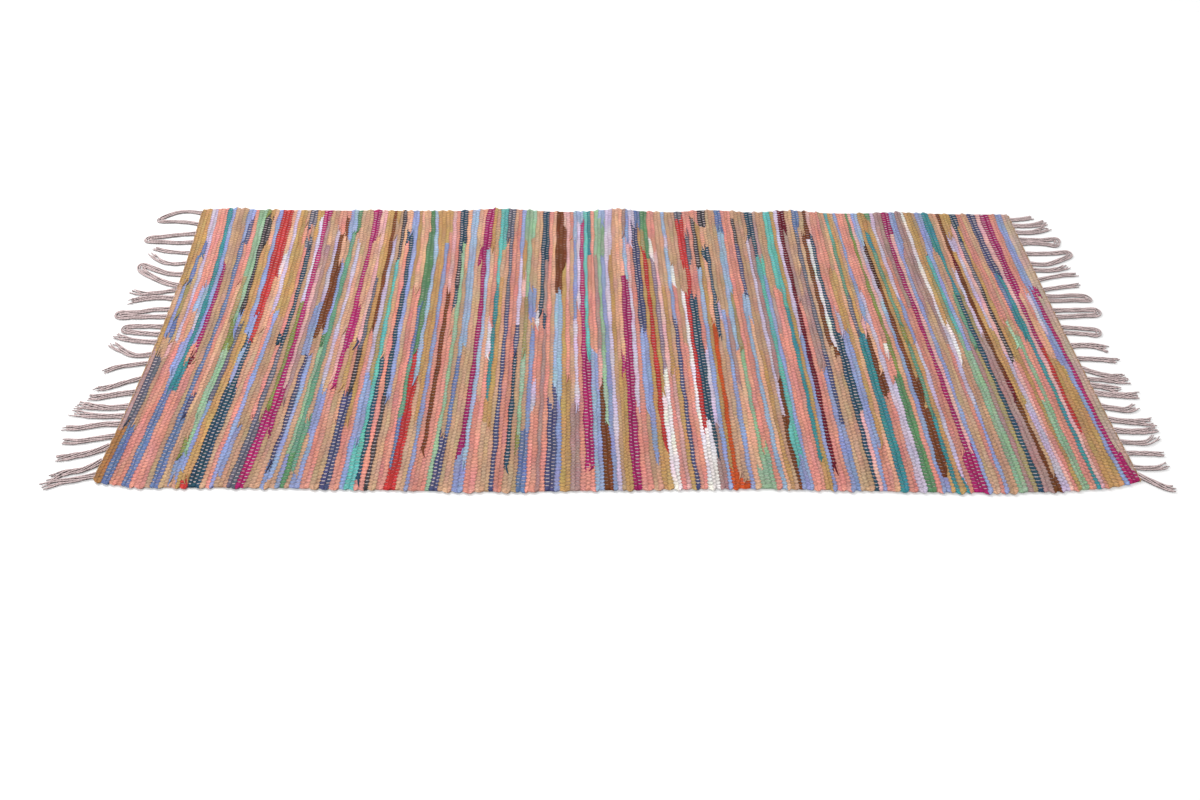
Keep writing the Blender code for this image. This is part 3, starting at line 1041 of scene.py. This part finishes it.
def yarn_material(name, colour, plied):
    """Cotton yarn: its colour in uneven tones; a plied yarn also has painted shade down its sides and
    between its plies.
    """
    material, nodes, links, shader = new_material(name, 0.9, 0.2)
    tones = stretched_noise(nodes, links, (1.0, 1.0, 1.0), 150.0, 2.0)
    fluff = stretched_noise(nodes, links, (1.0, 1.0, 1.0), 2600.0, 2.0)
    tone = multiply(
        nodes, links,
        remap(nodes, links, tones, 0.80, 1.14),
        remap(nodes, links, fluff, 0.86, 1.12),
    )
    height = fluff
    if plied:
        height = yarn_twist(nodes, links, 0.0052)
        # Painted shade: darker where the plies twist in, and down the yarn's sides with its top
        # lightest
        tone = multiply(nodes, links, tone, remap(nodes, links, height, 0.86, 1.06))
        tone = multiply(nodes, links, tone, remap(nodes, links, painted_round_shade(nodes, links), 0.30, 1.04))
    base = nodes.new("ShaderNodeRGB")
    base.outputs["Color"].default_value = (*colour, 1.0)
    links.new(scale_colour(nodes, links, base.outputs["Color"], tone), shader.inputs["Base Color"])
    bumped(nodes, links, shader, height, 0.0006)
    return material


def floor_material(colour):
    """A plain studio floor with a faint grain."""
    material, nodes, links, shader = new_material("studio_floor", 0.8, 0.0)
    grain = stretched_noise(nodes, links, (1.0, 1.0, 1.0), 40.0, 2.0)
    base = nodes.new("ShaderNodeRGB")
    base.outputs["Color"].default_value = (*colour, 1.0)
    tone = remap(nodes, links, grain, 0.99, 1.01)
    links.new(scale_colour(nodes, links, base.outputs["Color"], tone), shader.inputs["Base Color"])
    return material


# Pieces of the cloth

def ground_piece(material):
    """The closed sheet under the rows, ribbed on both faces and dyed as the rows above it.

    Two columns to a row and evenly spread lines across; the underside's ribs touch the floor.
    """
    columns = 2 * WEFT_ROWS + 1
    column = np.arange(columns)[:, None]
    inner = np.linspace(EDGE_LINES[-1], 1 - EDGE_LINES[-1], GROUND_LINES - 2)
    across = np.concatenate([[0.0], inner, [1.0]])[None, :]
    x, y = row_place(column / 2, across)
    edge = (across == 0) | (across == 1) | (column == 0) | (column == columns - 1)
    rib = GROUND_RIB * (column % 2 == 1)
    lift = hump_lift(x, y)
    top = np.where(edge, RIM_HEIGHT / 2, GROUND_TOP - GROUND_RIB + rib) + lift
    under = np.where(edge, RIM_HEIGHT / 2, GROUND_RIB - rib) + lift
    upper = np.stack([x, y, top], axis=-1).reshape(-1, 3)
    lower = np.stack([x, y, under], axis=-1).reshape(-1, 3)
    number = np.arange(columns * GROUND_LINES).reshape(columns, GROUND_LINES)
    # The rim's points serve both faces, so that the sheet is closed
    below = np.where(np.broadcast_to(edge, number.shape), number, number + number.size)
    quads = [number[:-1, :-1], number[1:, :-1], number[1:, 1:], number[:-1, 1:]]
    turned = [below[:-1, :-1], below[:-1, 1:], below[1:, 1:], below[1:, :-1]]
    faces = np.concatenate([np.stack(side, axis=-1).reshape(-1, 4) for side in (quads, turned)])
    used, faces = np.unique(faces, return_inverse=True)
    points = np.concatenate([upper, lower])[used]
    piece = new_piece("ground_weave", points, [faces.reshape(-1, 4)], material)
    shades = rag_colours((y[1::2, :-1] + y[1::2, 1:]) / 2, (-0.5, 0.5))
    shades = shades.transpose(0, 2, 1, 3).reshape(-1, 3)
    dye_corners(piece, np.repeat(np.concatenate([shades, shades]), 4, axis=0))
    return piece


def pressed_places():
    """Where a warp end passes over a row, for each row and line: over every second row."""
    row = np.arange(WEFT_ROWS)[:, None]
    end_number = np.arange(len(row_lines()))[None, :] - len(EDGE_LINES)
    at_edge = (end_number < 0) | (end_number >= WARP_ENDS)
    return ((row + end_number) % 2 == 0) & ~at_edge


def row_edges(sizes):
    """X and Y of the joins between rows: WEFT_ROWS + 1 curves over row_lines().

    They stray from their places in smooth waves, and step to and fro at each warp end: a row is
    pinched where the end passes over it, and its neighbours swell into the room.
    """
    lines = row_lines()
    rng = np.random.default_rng(5)
    join = np.arange(WEFT_ROWS + 1)[:, None]
    x, y = row_place(join, lines[None, :])
    stray = sizes.wobble * smooth_noise(rng, lines, WEFT_ROWS + 1, JOIN_WAVES)
    stray += sizes.wobble / WHOLE_ROW_PART * rng.uniform(-1, 1, (WEFT_ROWS + 1, 1))
    end_number = np.arange(len(lines))[None, :] - len(EDGE_LINES)
    step = np.where((join + end_number) % 2 == 0, sizes.interlock, -sizes.interlock)
    inner = np.minimum(1.0, np.minimum(join, WEFT_ROWS - join) / CALM_ROWS)
    return x + (stray + step) * inner, y


def rag_rows(sizes):
    """Points of the rag rows, numbered row, line, and five places round the rag.

    A rag is a low arch from one join to the next, closed below by a keel in the ground weave. It
    swells where it passes over a warp end, and is pressed down and in where one passes over it,
    turn about.
    """
    lines = row_lines()
    x, y = row_edges(sizes)
    rng = np.random.default_rng(7)
    middle = (x[1:] + x[:-1]) / 2
    half = (x[1:] - x[:-1]) / 2 * sizes.row_overlap
    middle_y = (y[1:] + y[:-1]) / 2
    row = np.arange(WEFT_ROWS)[:, None]
    press = pressed_places() * press_share(rag_bites(middle_y))
    fullness = np.ones(len(lines))
    fullness[: len(EDGE_LINES)] = EDGE_FULLNESS
    fullness[-len(EDGE_LINES):] = EDGE_FULLNESS[::-1]
    plump = PLUMP_WAVES * smooth_noise(rng, lines, WEFT_ROWS, CREST_WAVES)
    plump += PLUMP_ROWS * rng.uniform(-1, 1, (WEFT_ROWS, 1))
    crest = sizes.crest + plump - sizes.press * press
    shares = np.array(ROW_SHARES)
    px = middle[..., None] + half[..., None] * shares
    arch = ROW_JOIN + (crest[..., None] - ROW_JOIN) * np.array(ROW_HEIGHTS)
    arch[..., -1] = ROW_KEEL
    pz = RIM_HEIGHT + (arch - RIM_HEIGHT) * fullness[None, :, None]
    py = np.broadcast_to(middle_y[..., None], px.shape).copy()
    place = row + (shares + 1) / 2
    py[:, 0] -= turn_out(place, rng)
    py[:, -1] += turn_out(place + 1, rng)
    pz = pz + hump_lift(px, py)
    return np.stack([px, py, pz], axis=-1)


def painted_shade_corners(colours):
    """The colour of each corner of the rows' quads: the face's dye with painted shade in grooves and
    in the dishes where a warp end presses, and a painted highlight on crests and raised places.
    """
    # Painted shade where a warp end presses the rag, painted highlight where the rag rises
    press_painted_light = np.where(pressed_places(), PRESSED_PAINTED_SHADE, RAISED_PAINTED_HIGHLIGHT)
    tones = press_painted_light[..., None] * np.array(ROW_PAINTED_SHADING)
    ahead = np.roll(tones, -1, axis=2)
    corners = np.stack([tones[:, :-1], ahead[:, :-1], ahead[:, 1:], tones[:, 1:]], axis=-1)
    return colours[..., None, :] * corners[..., None]


def rag_pieces(sizes, material):
    """The rag rows in three joined meshes, so that each stays light."""
    points = rag_rows(sizes)
    middle_y = (points[:, :-1, 2, 1] + points[:, 1:, 2, 1]) / 2
    shares = np.array(ROW_SHARES)
    sides = len(shares)
    facets = (shares + np.roll(shares, -1)) / 2
    colours = rag_colours(middle_y, facets)
    # The corners' colours carry painted shade and painted highlight that follow the weave's relief
    shaded = painted_shade_corners(colours)
    pieces = []
    names = ("rag_rows_left", "rag_rows_middle", "rag_rows_right")
    for name, rows in zip(names, np.array_split(np.arange(WEFT_ROWS), len(names))):
        part = points[rows]
        quads, start_caps, end_caps = tube_faces(len(rows), part.shape[1], sides)
        piece = new_piece(name, part.reshape(-1, 3), [quads, start_caps, end_caps], material)
        caps = np.concatenate([colours[rows][:, 0, 0], colours[rows][:, -1, 0]])
        caps = np.repeat(caps, sides, axis=0)
        dye_corners(piece, np.concatenate([shaded[rows].reshape(-1, 3), caps]))
        pieces.append(piece)
    return pieces


def tail_paths(sizes):
    """Centre lines and dyes of the loose ends that some rags leave on top of the weave.

    A tail starts in its rag's row, rises over the crest and bends aside into the next row.
    """
    rng = np.random.default_rng(21)
    t = np.linspace(0, 1, TAIL_STATIONS)
    paths, dyes = [], []
    for row, rags in enumerate(charted_rows()):
        for name, end in rags[:-1]:
            chance, aside, length, tone = rng.uniform(0, 1, 4)
            if chance > TAIL_CHANCE:
                continue
            run = sizes.tail_length * (0.5 + length)
            y = end + run * (TAIL_START - t)
            across = (y - FRONT_EDGE) / (BACK_EDGE - FRONT_EDGE)
            x, y = row_place(row + 0.5 + (2 * aside - 1) * t**2, across)
            rise = sizes.crest + TAIL_RISE * np.sin(math.pi * t) - TAIL_DIP * (1 - t)
            paths.append(np.stack([x, y, rise + hump_lift(x, y)], axis=-1))
            dyes.append(linear(RAGS[name]) * (TAIL_DARKEST + TAIL_TONE_SPAN * tone))
    return np.array(paths), np.array(dyes)


def tail_piece(sizes, material):
    """Loose rag ends: low tubes that taper to a point."""
    paths, dyes = tail_paths(sizes)
    t = np.linspace(0, 1, TAIL_STATIONS)
    taper = TAIL_RADIUS * (1 - t) ** TAIL_TAPER + TAIL_TIP_RADIUS
    radius = np.broadcast_to(taper, paths.shape[:2])
    points = tubes_round(paths, radius, TAIL_SIDES)
    quads, start_caps, end_caps = tube_faces(len(paths), TAIL_STATIONS, TAIL_SIDES)
    faces = [quads, start_caps, end_caps]
    piece = new_piece("rag_tails", points.reshape(-1, 3), faces, material)
    sides = np.repeat(dyes, (TAIL_STATIONS - 1) * TAIL_SIDES * 4, axis=0)
    caps = np.repeat(np.concatenate([dyes, dyes]), TAIL_SIDES, axis=0)
    dye_corners(piece, np.concatenate([sides, caps]))
    return piece


def warp_piece(name, sizes, rows, material):
    """Warp ends where they show: closed spindles that pass over every second rag.

    Each has a point in the groove on either side of its row and two three-sided rings between,
    so that it bends over the row's crest.
    """
    at_ends = slice(len(EDGE_LINES), -len(EDGE_LINES))
    x, y = (places[:, at_ends] for places in row_edges(sizes))
    row = rows[:, None]
    over = (row + np.arange(WARP_ENDS)[None, :]) % 2 == 0
    left, right = x[rows][over], x[rows + 1][over]
    middle_y = (y[1:] + y[:-1]) / 2
    centre_y = middle_y[rows][over]
    bite = rag_bites(middle_y)[rows][over]
    rng = np.random.default_rng(int(rows[0]) + 17)
    grip = np.clip((bite - SOFT_BITE) / (1 - SOFT_BITE), 0, 1)
    width_share = WARP_LEAST_WIDTH + (1 - WARP_LEAST_WIDTH) * grip
    width = sizes.warp_width / 2 * width_share * rng.uniform(*WARP_WIDTHS, len(left))
    centre_y = centre_y + rng.normal(0, WARP_STRAY, len(left))
    pressed = sizes.crest - sizes.press * press_share(bite)
    height_share = WARP_LEAST_HEIGHT + (1 - WARP_LEAST_HEIGHT) * grip
    high = pressed + sizes.warp_height * height_share + rng.normal(0, WARP_RISE_STRAY, len(left))
    bed = pressed + WARP_BED
    low = ROW_JOIN - WARP_TIP_DEPTH
    span = right - left
    tip = ((0.0, low),)
    ring = ((-1.0, bed), (0.0, high), (1.0, bed))
    stations = (
        (WARP_TIPS[0], tip),
        (WARP_RINGS[0], ring),
        (WARP_RINGS[1], ring),
        (WARP_TIPS[1], tip),
    )
    points = []
    for share, section in stations:
        for aside, height in section:
            px = left + share * span
            py = centre_y + aside * width
            points.append(np.stack([px, py, height + hump_lift(px, py)], axis=-1))
    points = np.stack(points, axis=1)
    first, last = 0, 7
    near, far = (1, 2, 3), (4, 5, 6)
    tips, sides = [], []
    for k in range(3):
        tips.append((first, near[k], near[(k + 1) % 3]))
        tips.append((last, far[(k + 1) % 3], far[k]))
        sides.append((near[k], far[k], far[(k + 1) % 3], near[(k + 1) % 3]))
    start = 8 * np.arange(len(left))[:, None, None]
    return new_piece(
        name,
        points.reshape(-1, 3),
        [(start + np.array(tips)).reshape(-1, 3), (start + np.array(sides)).reshape(-1, 4)],
        material,
    )


# Pieces of the fringe

def cloth_end(side, y):
    """X of the cloth's end at y."""
    across = (y - FRONT_EDGE) / (BACK_EDGE - FRONT_EDGE) * 2 - 1
    return left_end(across) if side < 0 else right_end(across)


def lock_line(side, lock):
    """The four charted points of a lock's centre line, as X and Y."""
    y = np.array([lock.root, lock.near, lock.far, lock.tip]) * MM
    root = cloth_end(side, y[0]) + side * HEADING_GAP
    out = HEADING_WIDTH * np.array(LOCK_OFFSETS) + lock.reach * MM * np.arange(4) / 3
    return np.stack([root + side * out, y], axis=-1)


def smooth_line(points, stations):
    """A curve through the points: cubic pieces that share their slopes where they meet."""
    slopes = np.gradient(points, axis=0)
    place = np.linspace(0, len(points) - 1, stations)
    piece = np.minimum(place.astype(int), len(points) - 2)
    t = (place - piece)[:, None]
    ahead = t * t * (3 - 2 * t)
    leaving = t * (1 - t) ** 2 * slopes[piece]
    arriving = t * t * (1 - t) * slopes[piece + 1]
    return (1 - ahead) * points[piece] + ahead * points[piece + 1] + leaving - arriving


def lock_lines(side, locks):
    """Centre lines of the locks. A lock that turns back is one loop with the lock after it.

    Gives pairs of a line and of how far along its lock or locks each station is, 1 at a tip.
    """
    lines = []
    after_turn = False
    for lock, following in zip(locks, (*locks[1:], None)):
        if after_turn:
            after_turn = False
        elif lock.turns_back:
            points = np.concatenate([lock_line(side, lock), lock_line(side, following)[::-1]])
            along = np.linspace(0, 2, 2 * YARN_STATIONS - 1)
            lines.append((smooth_line(points, len(along)), along))
            after_turn = True
        else:
            along = np.linspace(0, 1, YARN_STATIONS)
            lines.append((smooth_line(lock_line(side, lock), YARN_STATIONS), along))
    return lines


def lock_paths(side, locks, fringe):
    """Centre lines of the fringe yarns, numbered yarn and station.

    The yarns of a lock lie on a flattened ring about its line and wind slowly round it, spread at
    the root and, where they end, a little apart at the tip. Some locks have a yarn more or less
    than the rest. A loop gives two paths that meet.
    """
    rng = np.random.default_rng(3 if side < 0 else 4)
    paths = []
    for line, along in lock_lines(side, locks):
        ends_free = along[-1] == 1
        ahead = np.gradient(line, axis=0)
        ahead /= np.linalg.norm(ahead, axis=1, keepdims=True)
        turns = rng.uniform(*LOCK_TURNS) * rng.choice([-1, 1])
        first_angle = rng.uniform(0, math.tau)
        from_root = np.minimum(along, 2 - along)
        count = fringe.yarns + rng.integers(-1, 2)
        spread = np.interp(from_root, (0, 1), LOCK_SWELL)
        spread += LOCK_ROOT_SPREAD * np.exp(-from_root / LOCK_GATHER)
        spread += rng.uniform(0, 2) * LOCK_FORK * ends_free * along**3
        spread *= count / fringe.yarns
        for number in range(count):
            share = rng.uniform(SHORTEST_YARN, 1.0) if ends_free else 1.0
            angle = first_angle + math.tau * (number / count + turns * along)
            wave = np.sin(math.tau * (YARN_WANDER_WAVES * along + rng.uniform(0, 1)))
            aside = LOCK_WIDTH * fringe.yarn * spread * np.cos(angle) + YARN_WANDER * wave * from_root
            settled = LOCK_DEPTH * (1 - LOCK_SETTLING * from_root**2)
            height = fringe.yarn * (YARN_LIFT + settled * (1 + np.sin(angle)))
            x = line[:, 0] - aside * ahead[:, 1]
            y = line[:, 1] + aside * ahead[:, 0]
            path = np.stack([x, y, height], axis=-1)
            if ends_free:
                place = share * np.arange(YARN_STATIONS)
                whole = [np.interp(place, np.arange(YARN_STATIONS), part) for part in path.T]
                paths.append(np.stack(whole, axis=-1))
            else:
                paths.append(path[:YARN_STATIONS])
                paths.append(path[: YARN_STATIONS - 2 : -1])
    return np.array(paths)


def heading_paths(side, fringe):
    """Two strips that twine round each other along the cloth's end: a pair of opposed helices."""
    start = front_selvedge(side * END_CORNER) + TWINE_INSET
    end = BACK_EDGE - TWINE_INSET
    y = np.arange(start, end, TWINE_STEP)
    phase = math.tau * y / TWINE_PITCH
    swing = fringe.yarn * TWINE_SWING
    middle = cloth_end(side, y) + side * (HEADING_GAP + TWINE_OUT * fringe.yarn)
    paths = []
    for turn in (0.0, math.pi):
        x = middle + swing * np.cos(phase + turn)
        z = fringe.yarn * TWINE_UP + swing * np.sin(phase + turn)
        paths.append(np.stack([x, y, z], axis=-1))
    return np.array(paths)


def fringe_piece(name, paths, fringe, sides, material, taper):
    """Tubes along the paths, thinner at the tip where they taper."""
    count, stations = paths.shape[:2]
    t = np.linspace(0, 1, stations)
    thickness = 1 - YARN_TAPER * t**YARN_TAPER_POWER if taper else np.ones(stations)
    radius = np.broadcast_to(fringe.yarn / 2 * thickness, (count, stations))
    points = tubes_round(paths, radius, sides)
    quads, start_caps, end_caps = tube_faces(count, stations, sides)
    piece = new_piece(name, points.reshape(-1, 3), [quads, start_caps, end_caps], material)
    wind_uv(piece, paths, sides)
    return piece


def keep(piece, replaced=()):
    """Says what a finished piece rides on and the solids that it stands for."""
    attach(piece, BODY)
    if replaced:
        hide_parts(*replaced)


class RUG_OT_ground(bpy.types.Operator):
    """Lays the closed sheet that carries the rows"""

    bl_idname = "rug.ground"
    bl_label = "Lay Ground Weave"

    def execute(self, context):
        piece = ground_piece(rag_material(context.scene.rug_looks.brightness))
        keep(piece, ["woven_cloth"])
        return {"FINISHED"}


class RUG_OT_rags(bpy.types.Operator):
    """Weaves the rows of rag from the chart"""

    bl_idname = "rug.rags"
    bl_label = "Weave Rag Rows"

    def execute(self, context):
        material = bpy.data.materials["rag_cotton_strips"]
        for piece in rag_pieces(context.scene.rug_weave, material):
            keep(piece)
        keep(tail_piece(context.scene.rug_weave, material))
        return {"FINISHED"}


class RUG_OT_warp(bpy.types.Operator):
    """Passes the warp ends over every second rag"""

    bl_idname = "rug.warp"
    bl_label = "Pass Warp Ends"

    def execute(self, context):
        scene = context.scene
        material = yarn_material("warp_ends", scene.rug_looks.yarn_colour, plied=False)
        halves = np.array_split(np.arange(WEFT_ROWS), 2)
        for name, rows in zip(("warp_ends_left", "warp_ends_right"), halves):
            keep(warp_piece(name, scene.rug_weave, rows, material))
        return {"FINISHED"}


class RUG_OT_fringe(bpy.types.Operator):
    """Ties the fringe locks and the heading along both ends"""

    bl_idname = "rug.fringe"
    bl_label = "Tie Fringe"

    def execute(self, context):
        scene = context.scene
        fringe = scene.rug_fringe
        material = yarn_material("fringe_yarn", scene.rug_looks.fringe_colour, plied=True)
        strip = yarn_material("heading_strip", scene.rug_looks.heading_colour, plied=False)
        for word, side, locks in (("left", -1, LEFT_LOCKS), ("right", 1, RIGHT_LOCKS)):
            yarns = lock_paths(side, locks, fringe)
            piece = fringe_piece(
                f"yarn_fringe_{word}", yarns, fringe, YARN_SIDES, material, taper=True
            )
            keep(piece, [f"fringe_{word}"])
            twine = heading_paths(side, fringe)
            piece = fringe_piece(
                f"heading_{word}", twine, fringe, TWINE_SIDES, strip, taper=False
            )
            keep(piece)
        return {"FINISHED"}


class RUG_OT_stage(bpy.types.Operator):
    """Sets the floor, the soft light and the camera"""

    bl_idname = "rug.stage"
    bl_label = "Set Stage"

    def execute(self, context):
        scene = context.scene
        bpy.ops.mesh.primitive_plane_add(size=FLOOR_SIZE, location=(0, 0, FLOOR_HEIGHT))
        floor = context.object
        floor.name = "studio_floor"
        floor.data.materials.append(floor_material(scene.rug_looks.floor_colour))
        light_stage(scene)
        add_camera(scene)
        return {"FINISHED"}


def light_stage(scene):
    """An even white surround, a soft lamp high in front and a broad one behind on the left."""
    world = bpy.data.worlds.new("studio")
    world.use_nodes = True
    surround = world.node_tree.nodes["Background"]
    surround.inputs["Color"].default_value = (1.0, 1.0, 1.0, 1.0)
    surround.inputs["Strength"].default_value = SURROUND_STRENGTH
    scene.world = world
    front = bpy.data.lights.new("front_lamp", "SUN")
    front.energy = FRONT_LAMP_STRENGTH
    front.angle = FRONT_LAMP_SPREAD
    holder = bpy.data.objects.new("front_lamp", front)
    holder.rotation_euler = FRONT_LAMP_TURN
    scene.collection.objects.link(holder)
    back = bpy.data.lights.new("back_lamp", "AREA")
    back.energy = BACK_LAMP_POWER
    back.size = BACK_LAMP_SIZE
    holder = bpy.data.objects.new("back_lamp", back)
    holder.location = BACK_LAMP_PLACE
    holder.rotation_euler = (-BACK_LAMP_PLACE).to_track_quat("-Z", "Y").to_euler()
    scene.collection.objects.link(holder)
    scene.view_settings.view_transform = "Standard"


def add_camera(scene):
    """A camera turned by yaw, pitch and roll about its place."""
    ahead = Vector((
        math.sin(CAMERA_YAW) * math.cos(CAMERA_PITCH),
        math.cos(CAMERA_YAW) * math.cos(CAMERA_PITCH),
        -math.sin(CAMERA_PITCH),
    ))
    level = Vector((math.cos(CAMERA_YAW), -math.sin(CAMERA_YAW), 0))
    upright = level.cross(ahead)
    right = level * math.cos(CAMERA_ROLL) + upright * math.sin(CAMERA_ROLL)
    up = upright * math.cos(CAMERA_ROLL) - level * math.sin(CAMERA_ROLL)
    camera = bpy.data.objects.new("camera", bpy.data.cameras.new("camera"))
    camera.data.lens = CAMERA_LENS
    camera.data.sensor_width = CAMERA_SENSOR
    turned = Matrix((right, up, -ahead)).transposed().to_4x4()
    camera.matrix_world = Matrix.Translation(CAMERA_PLACE) @ turned
    scene.collection.objects.link(camera)
    scene.camera = camera


class RUG_PT_sidebar(bpy.types.Panel):
    """Sizes, looks and steps of the rug"""

    bl_idname = "RUG_PT_sidebar"
    bl_label = "Rag Rug"
    bl_space_type = "VIEW_3D"
    bl_region_type = "UI"
    bl_category = "Rag Rug"

    def draw(self, context):
        for group in PROPERTY_GROUPS:
            settings = getattr(context.scene, group)
            for name in settings.bl_rna.properties.keys():
                if name not in ("rna_type", "name"):
                    self.layout.prop(settings, name)
        for operator in OPERATORS:
            self.layout.operator(operator.bl_idname)


PROPERTY_GROUPS = {
    "rug_weave": WeaveSizes,
    "rug_fringe": FringeSizes,
    "rug_looks": RugLooks,
}
OPERATORS = (RUG_OT_ground, RUG_OT_rags, RUG_OT_warp, RUG_OT_fringe, RUG_OT_stage)
CLASSES = (*PROPERTY_GROUPS.values(), *OPERATORS, RUG_PT_sidebar)


def register():
    """Makes the classes and the settings known to Blender."""
    for made in CLASSES:
        bpy.utils.register_class(made)
    for name, group in PROPERTY_GROUPS.items():
        setattr(bpy.types.Scene, name, PointerProperty(type=group))


def unregister():
    """Takes the settings and the classes away again."""
    for name in PROPERTY_GROUPS:
        delattr(bpy.types.Scene, name)
    for made in reversed(CLASSES):
        bpy.utils.unregister_class(made)


def main():
    """Registers the classes and builds the rug, one step after the other."""
    register()
    bpy.ops.rug.ground()
    bpy.ops.rug.rags()
    bpy.ops.rug.warp()
    bpy.ops.rug.fringe()
    bpy.ops.rug.stage()


if __name__ == "__main__":
    main()
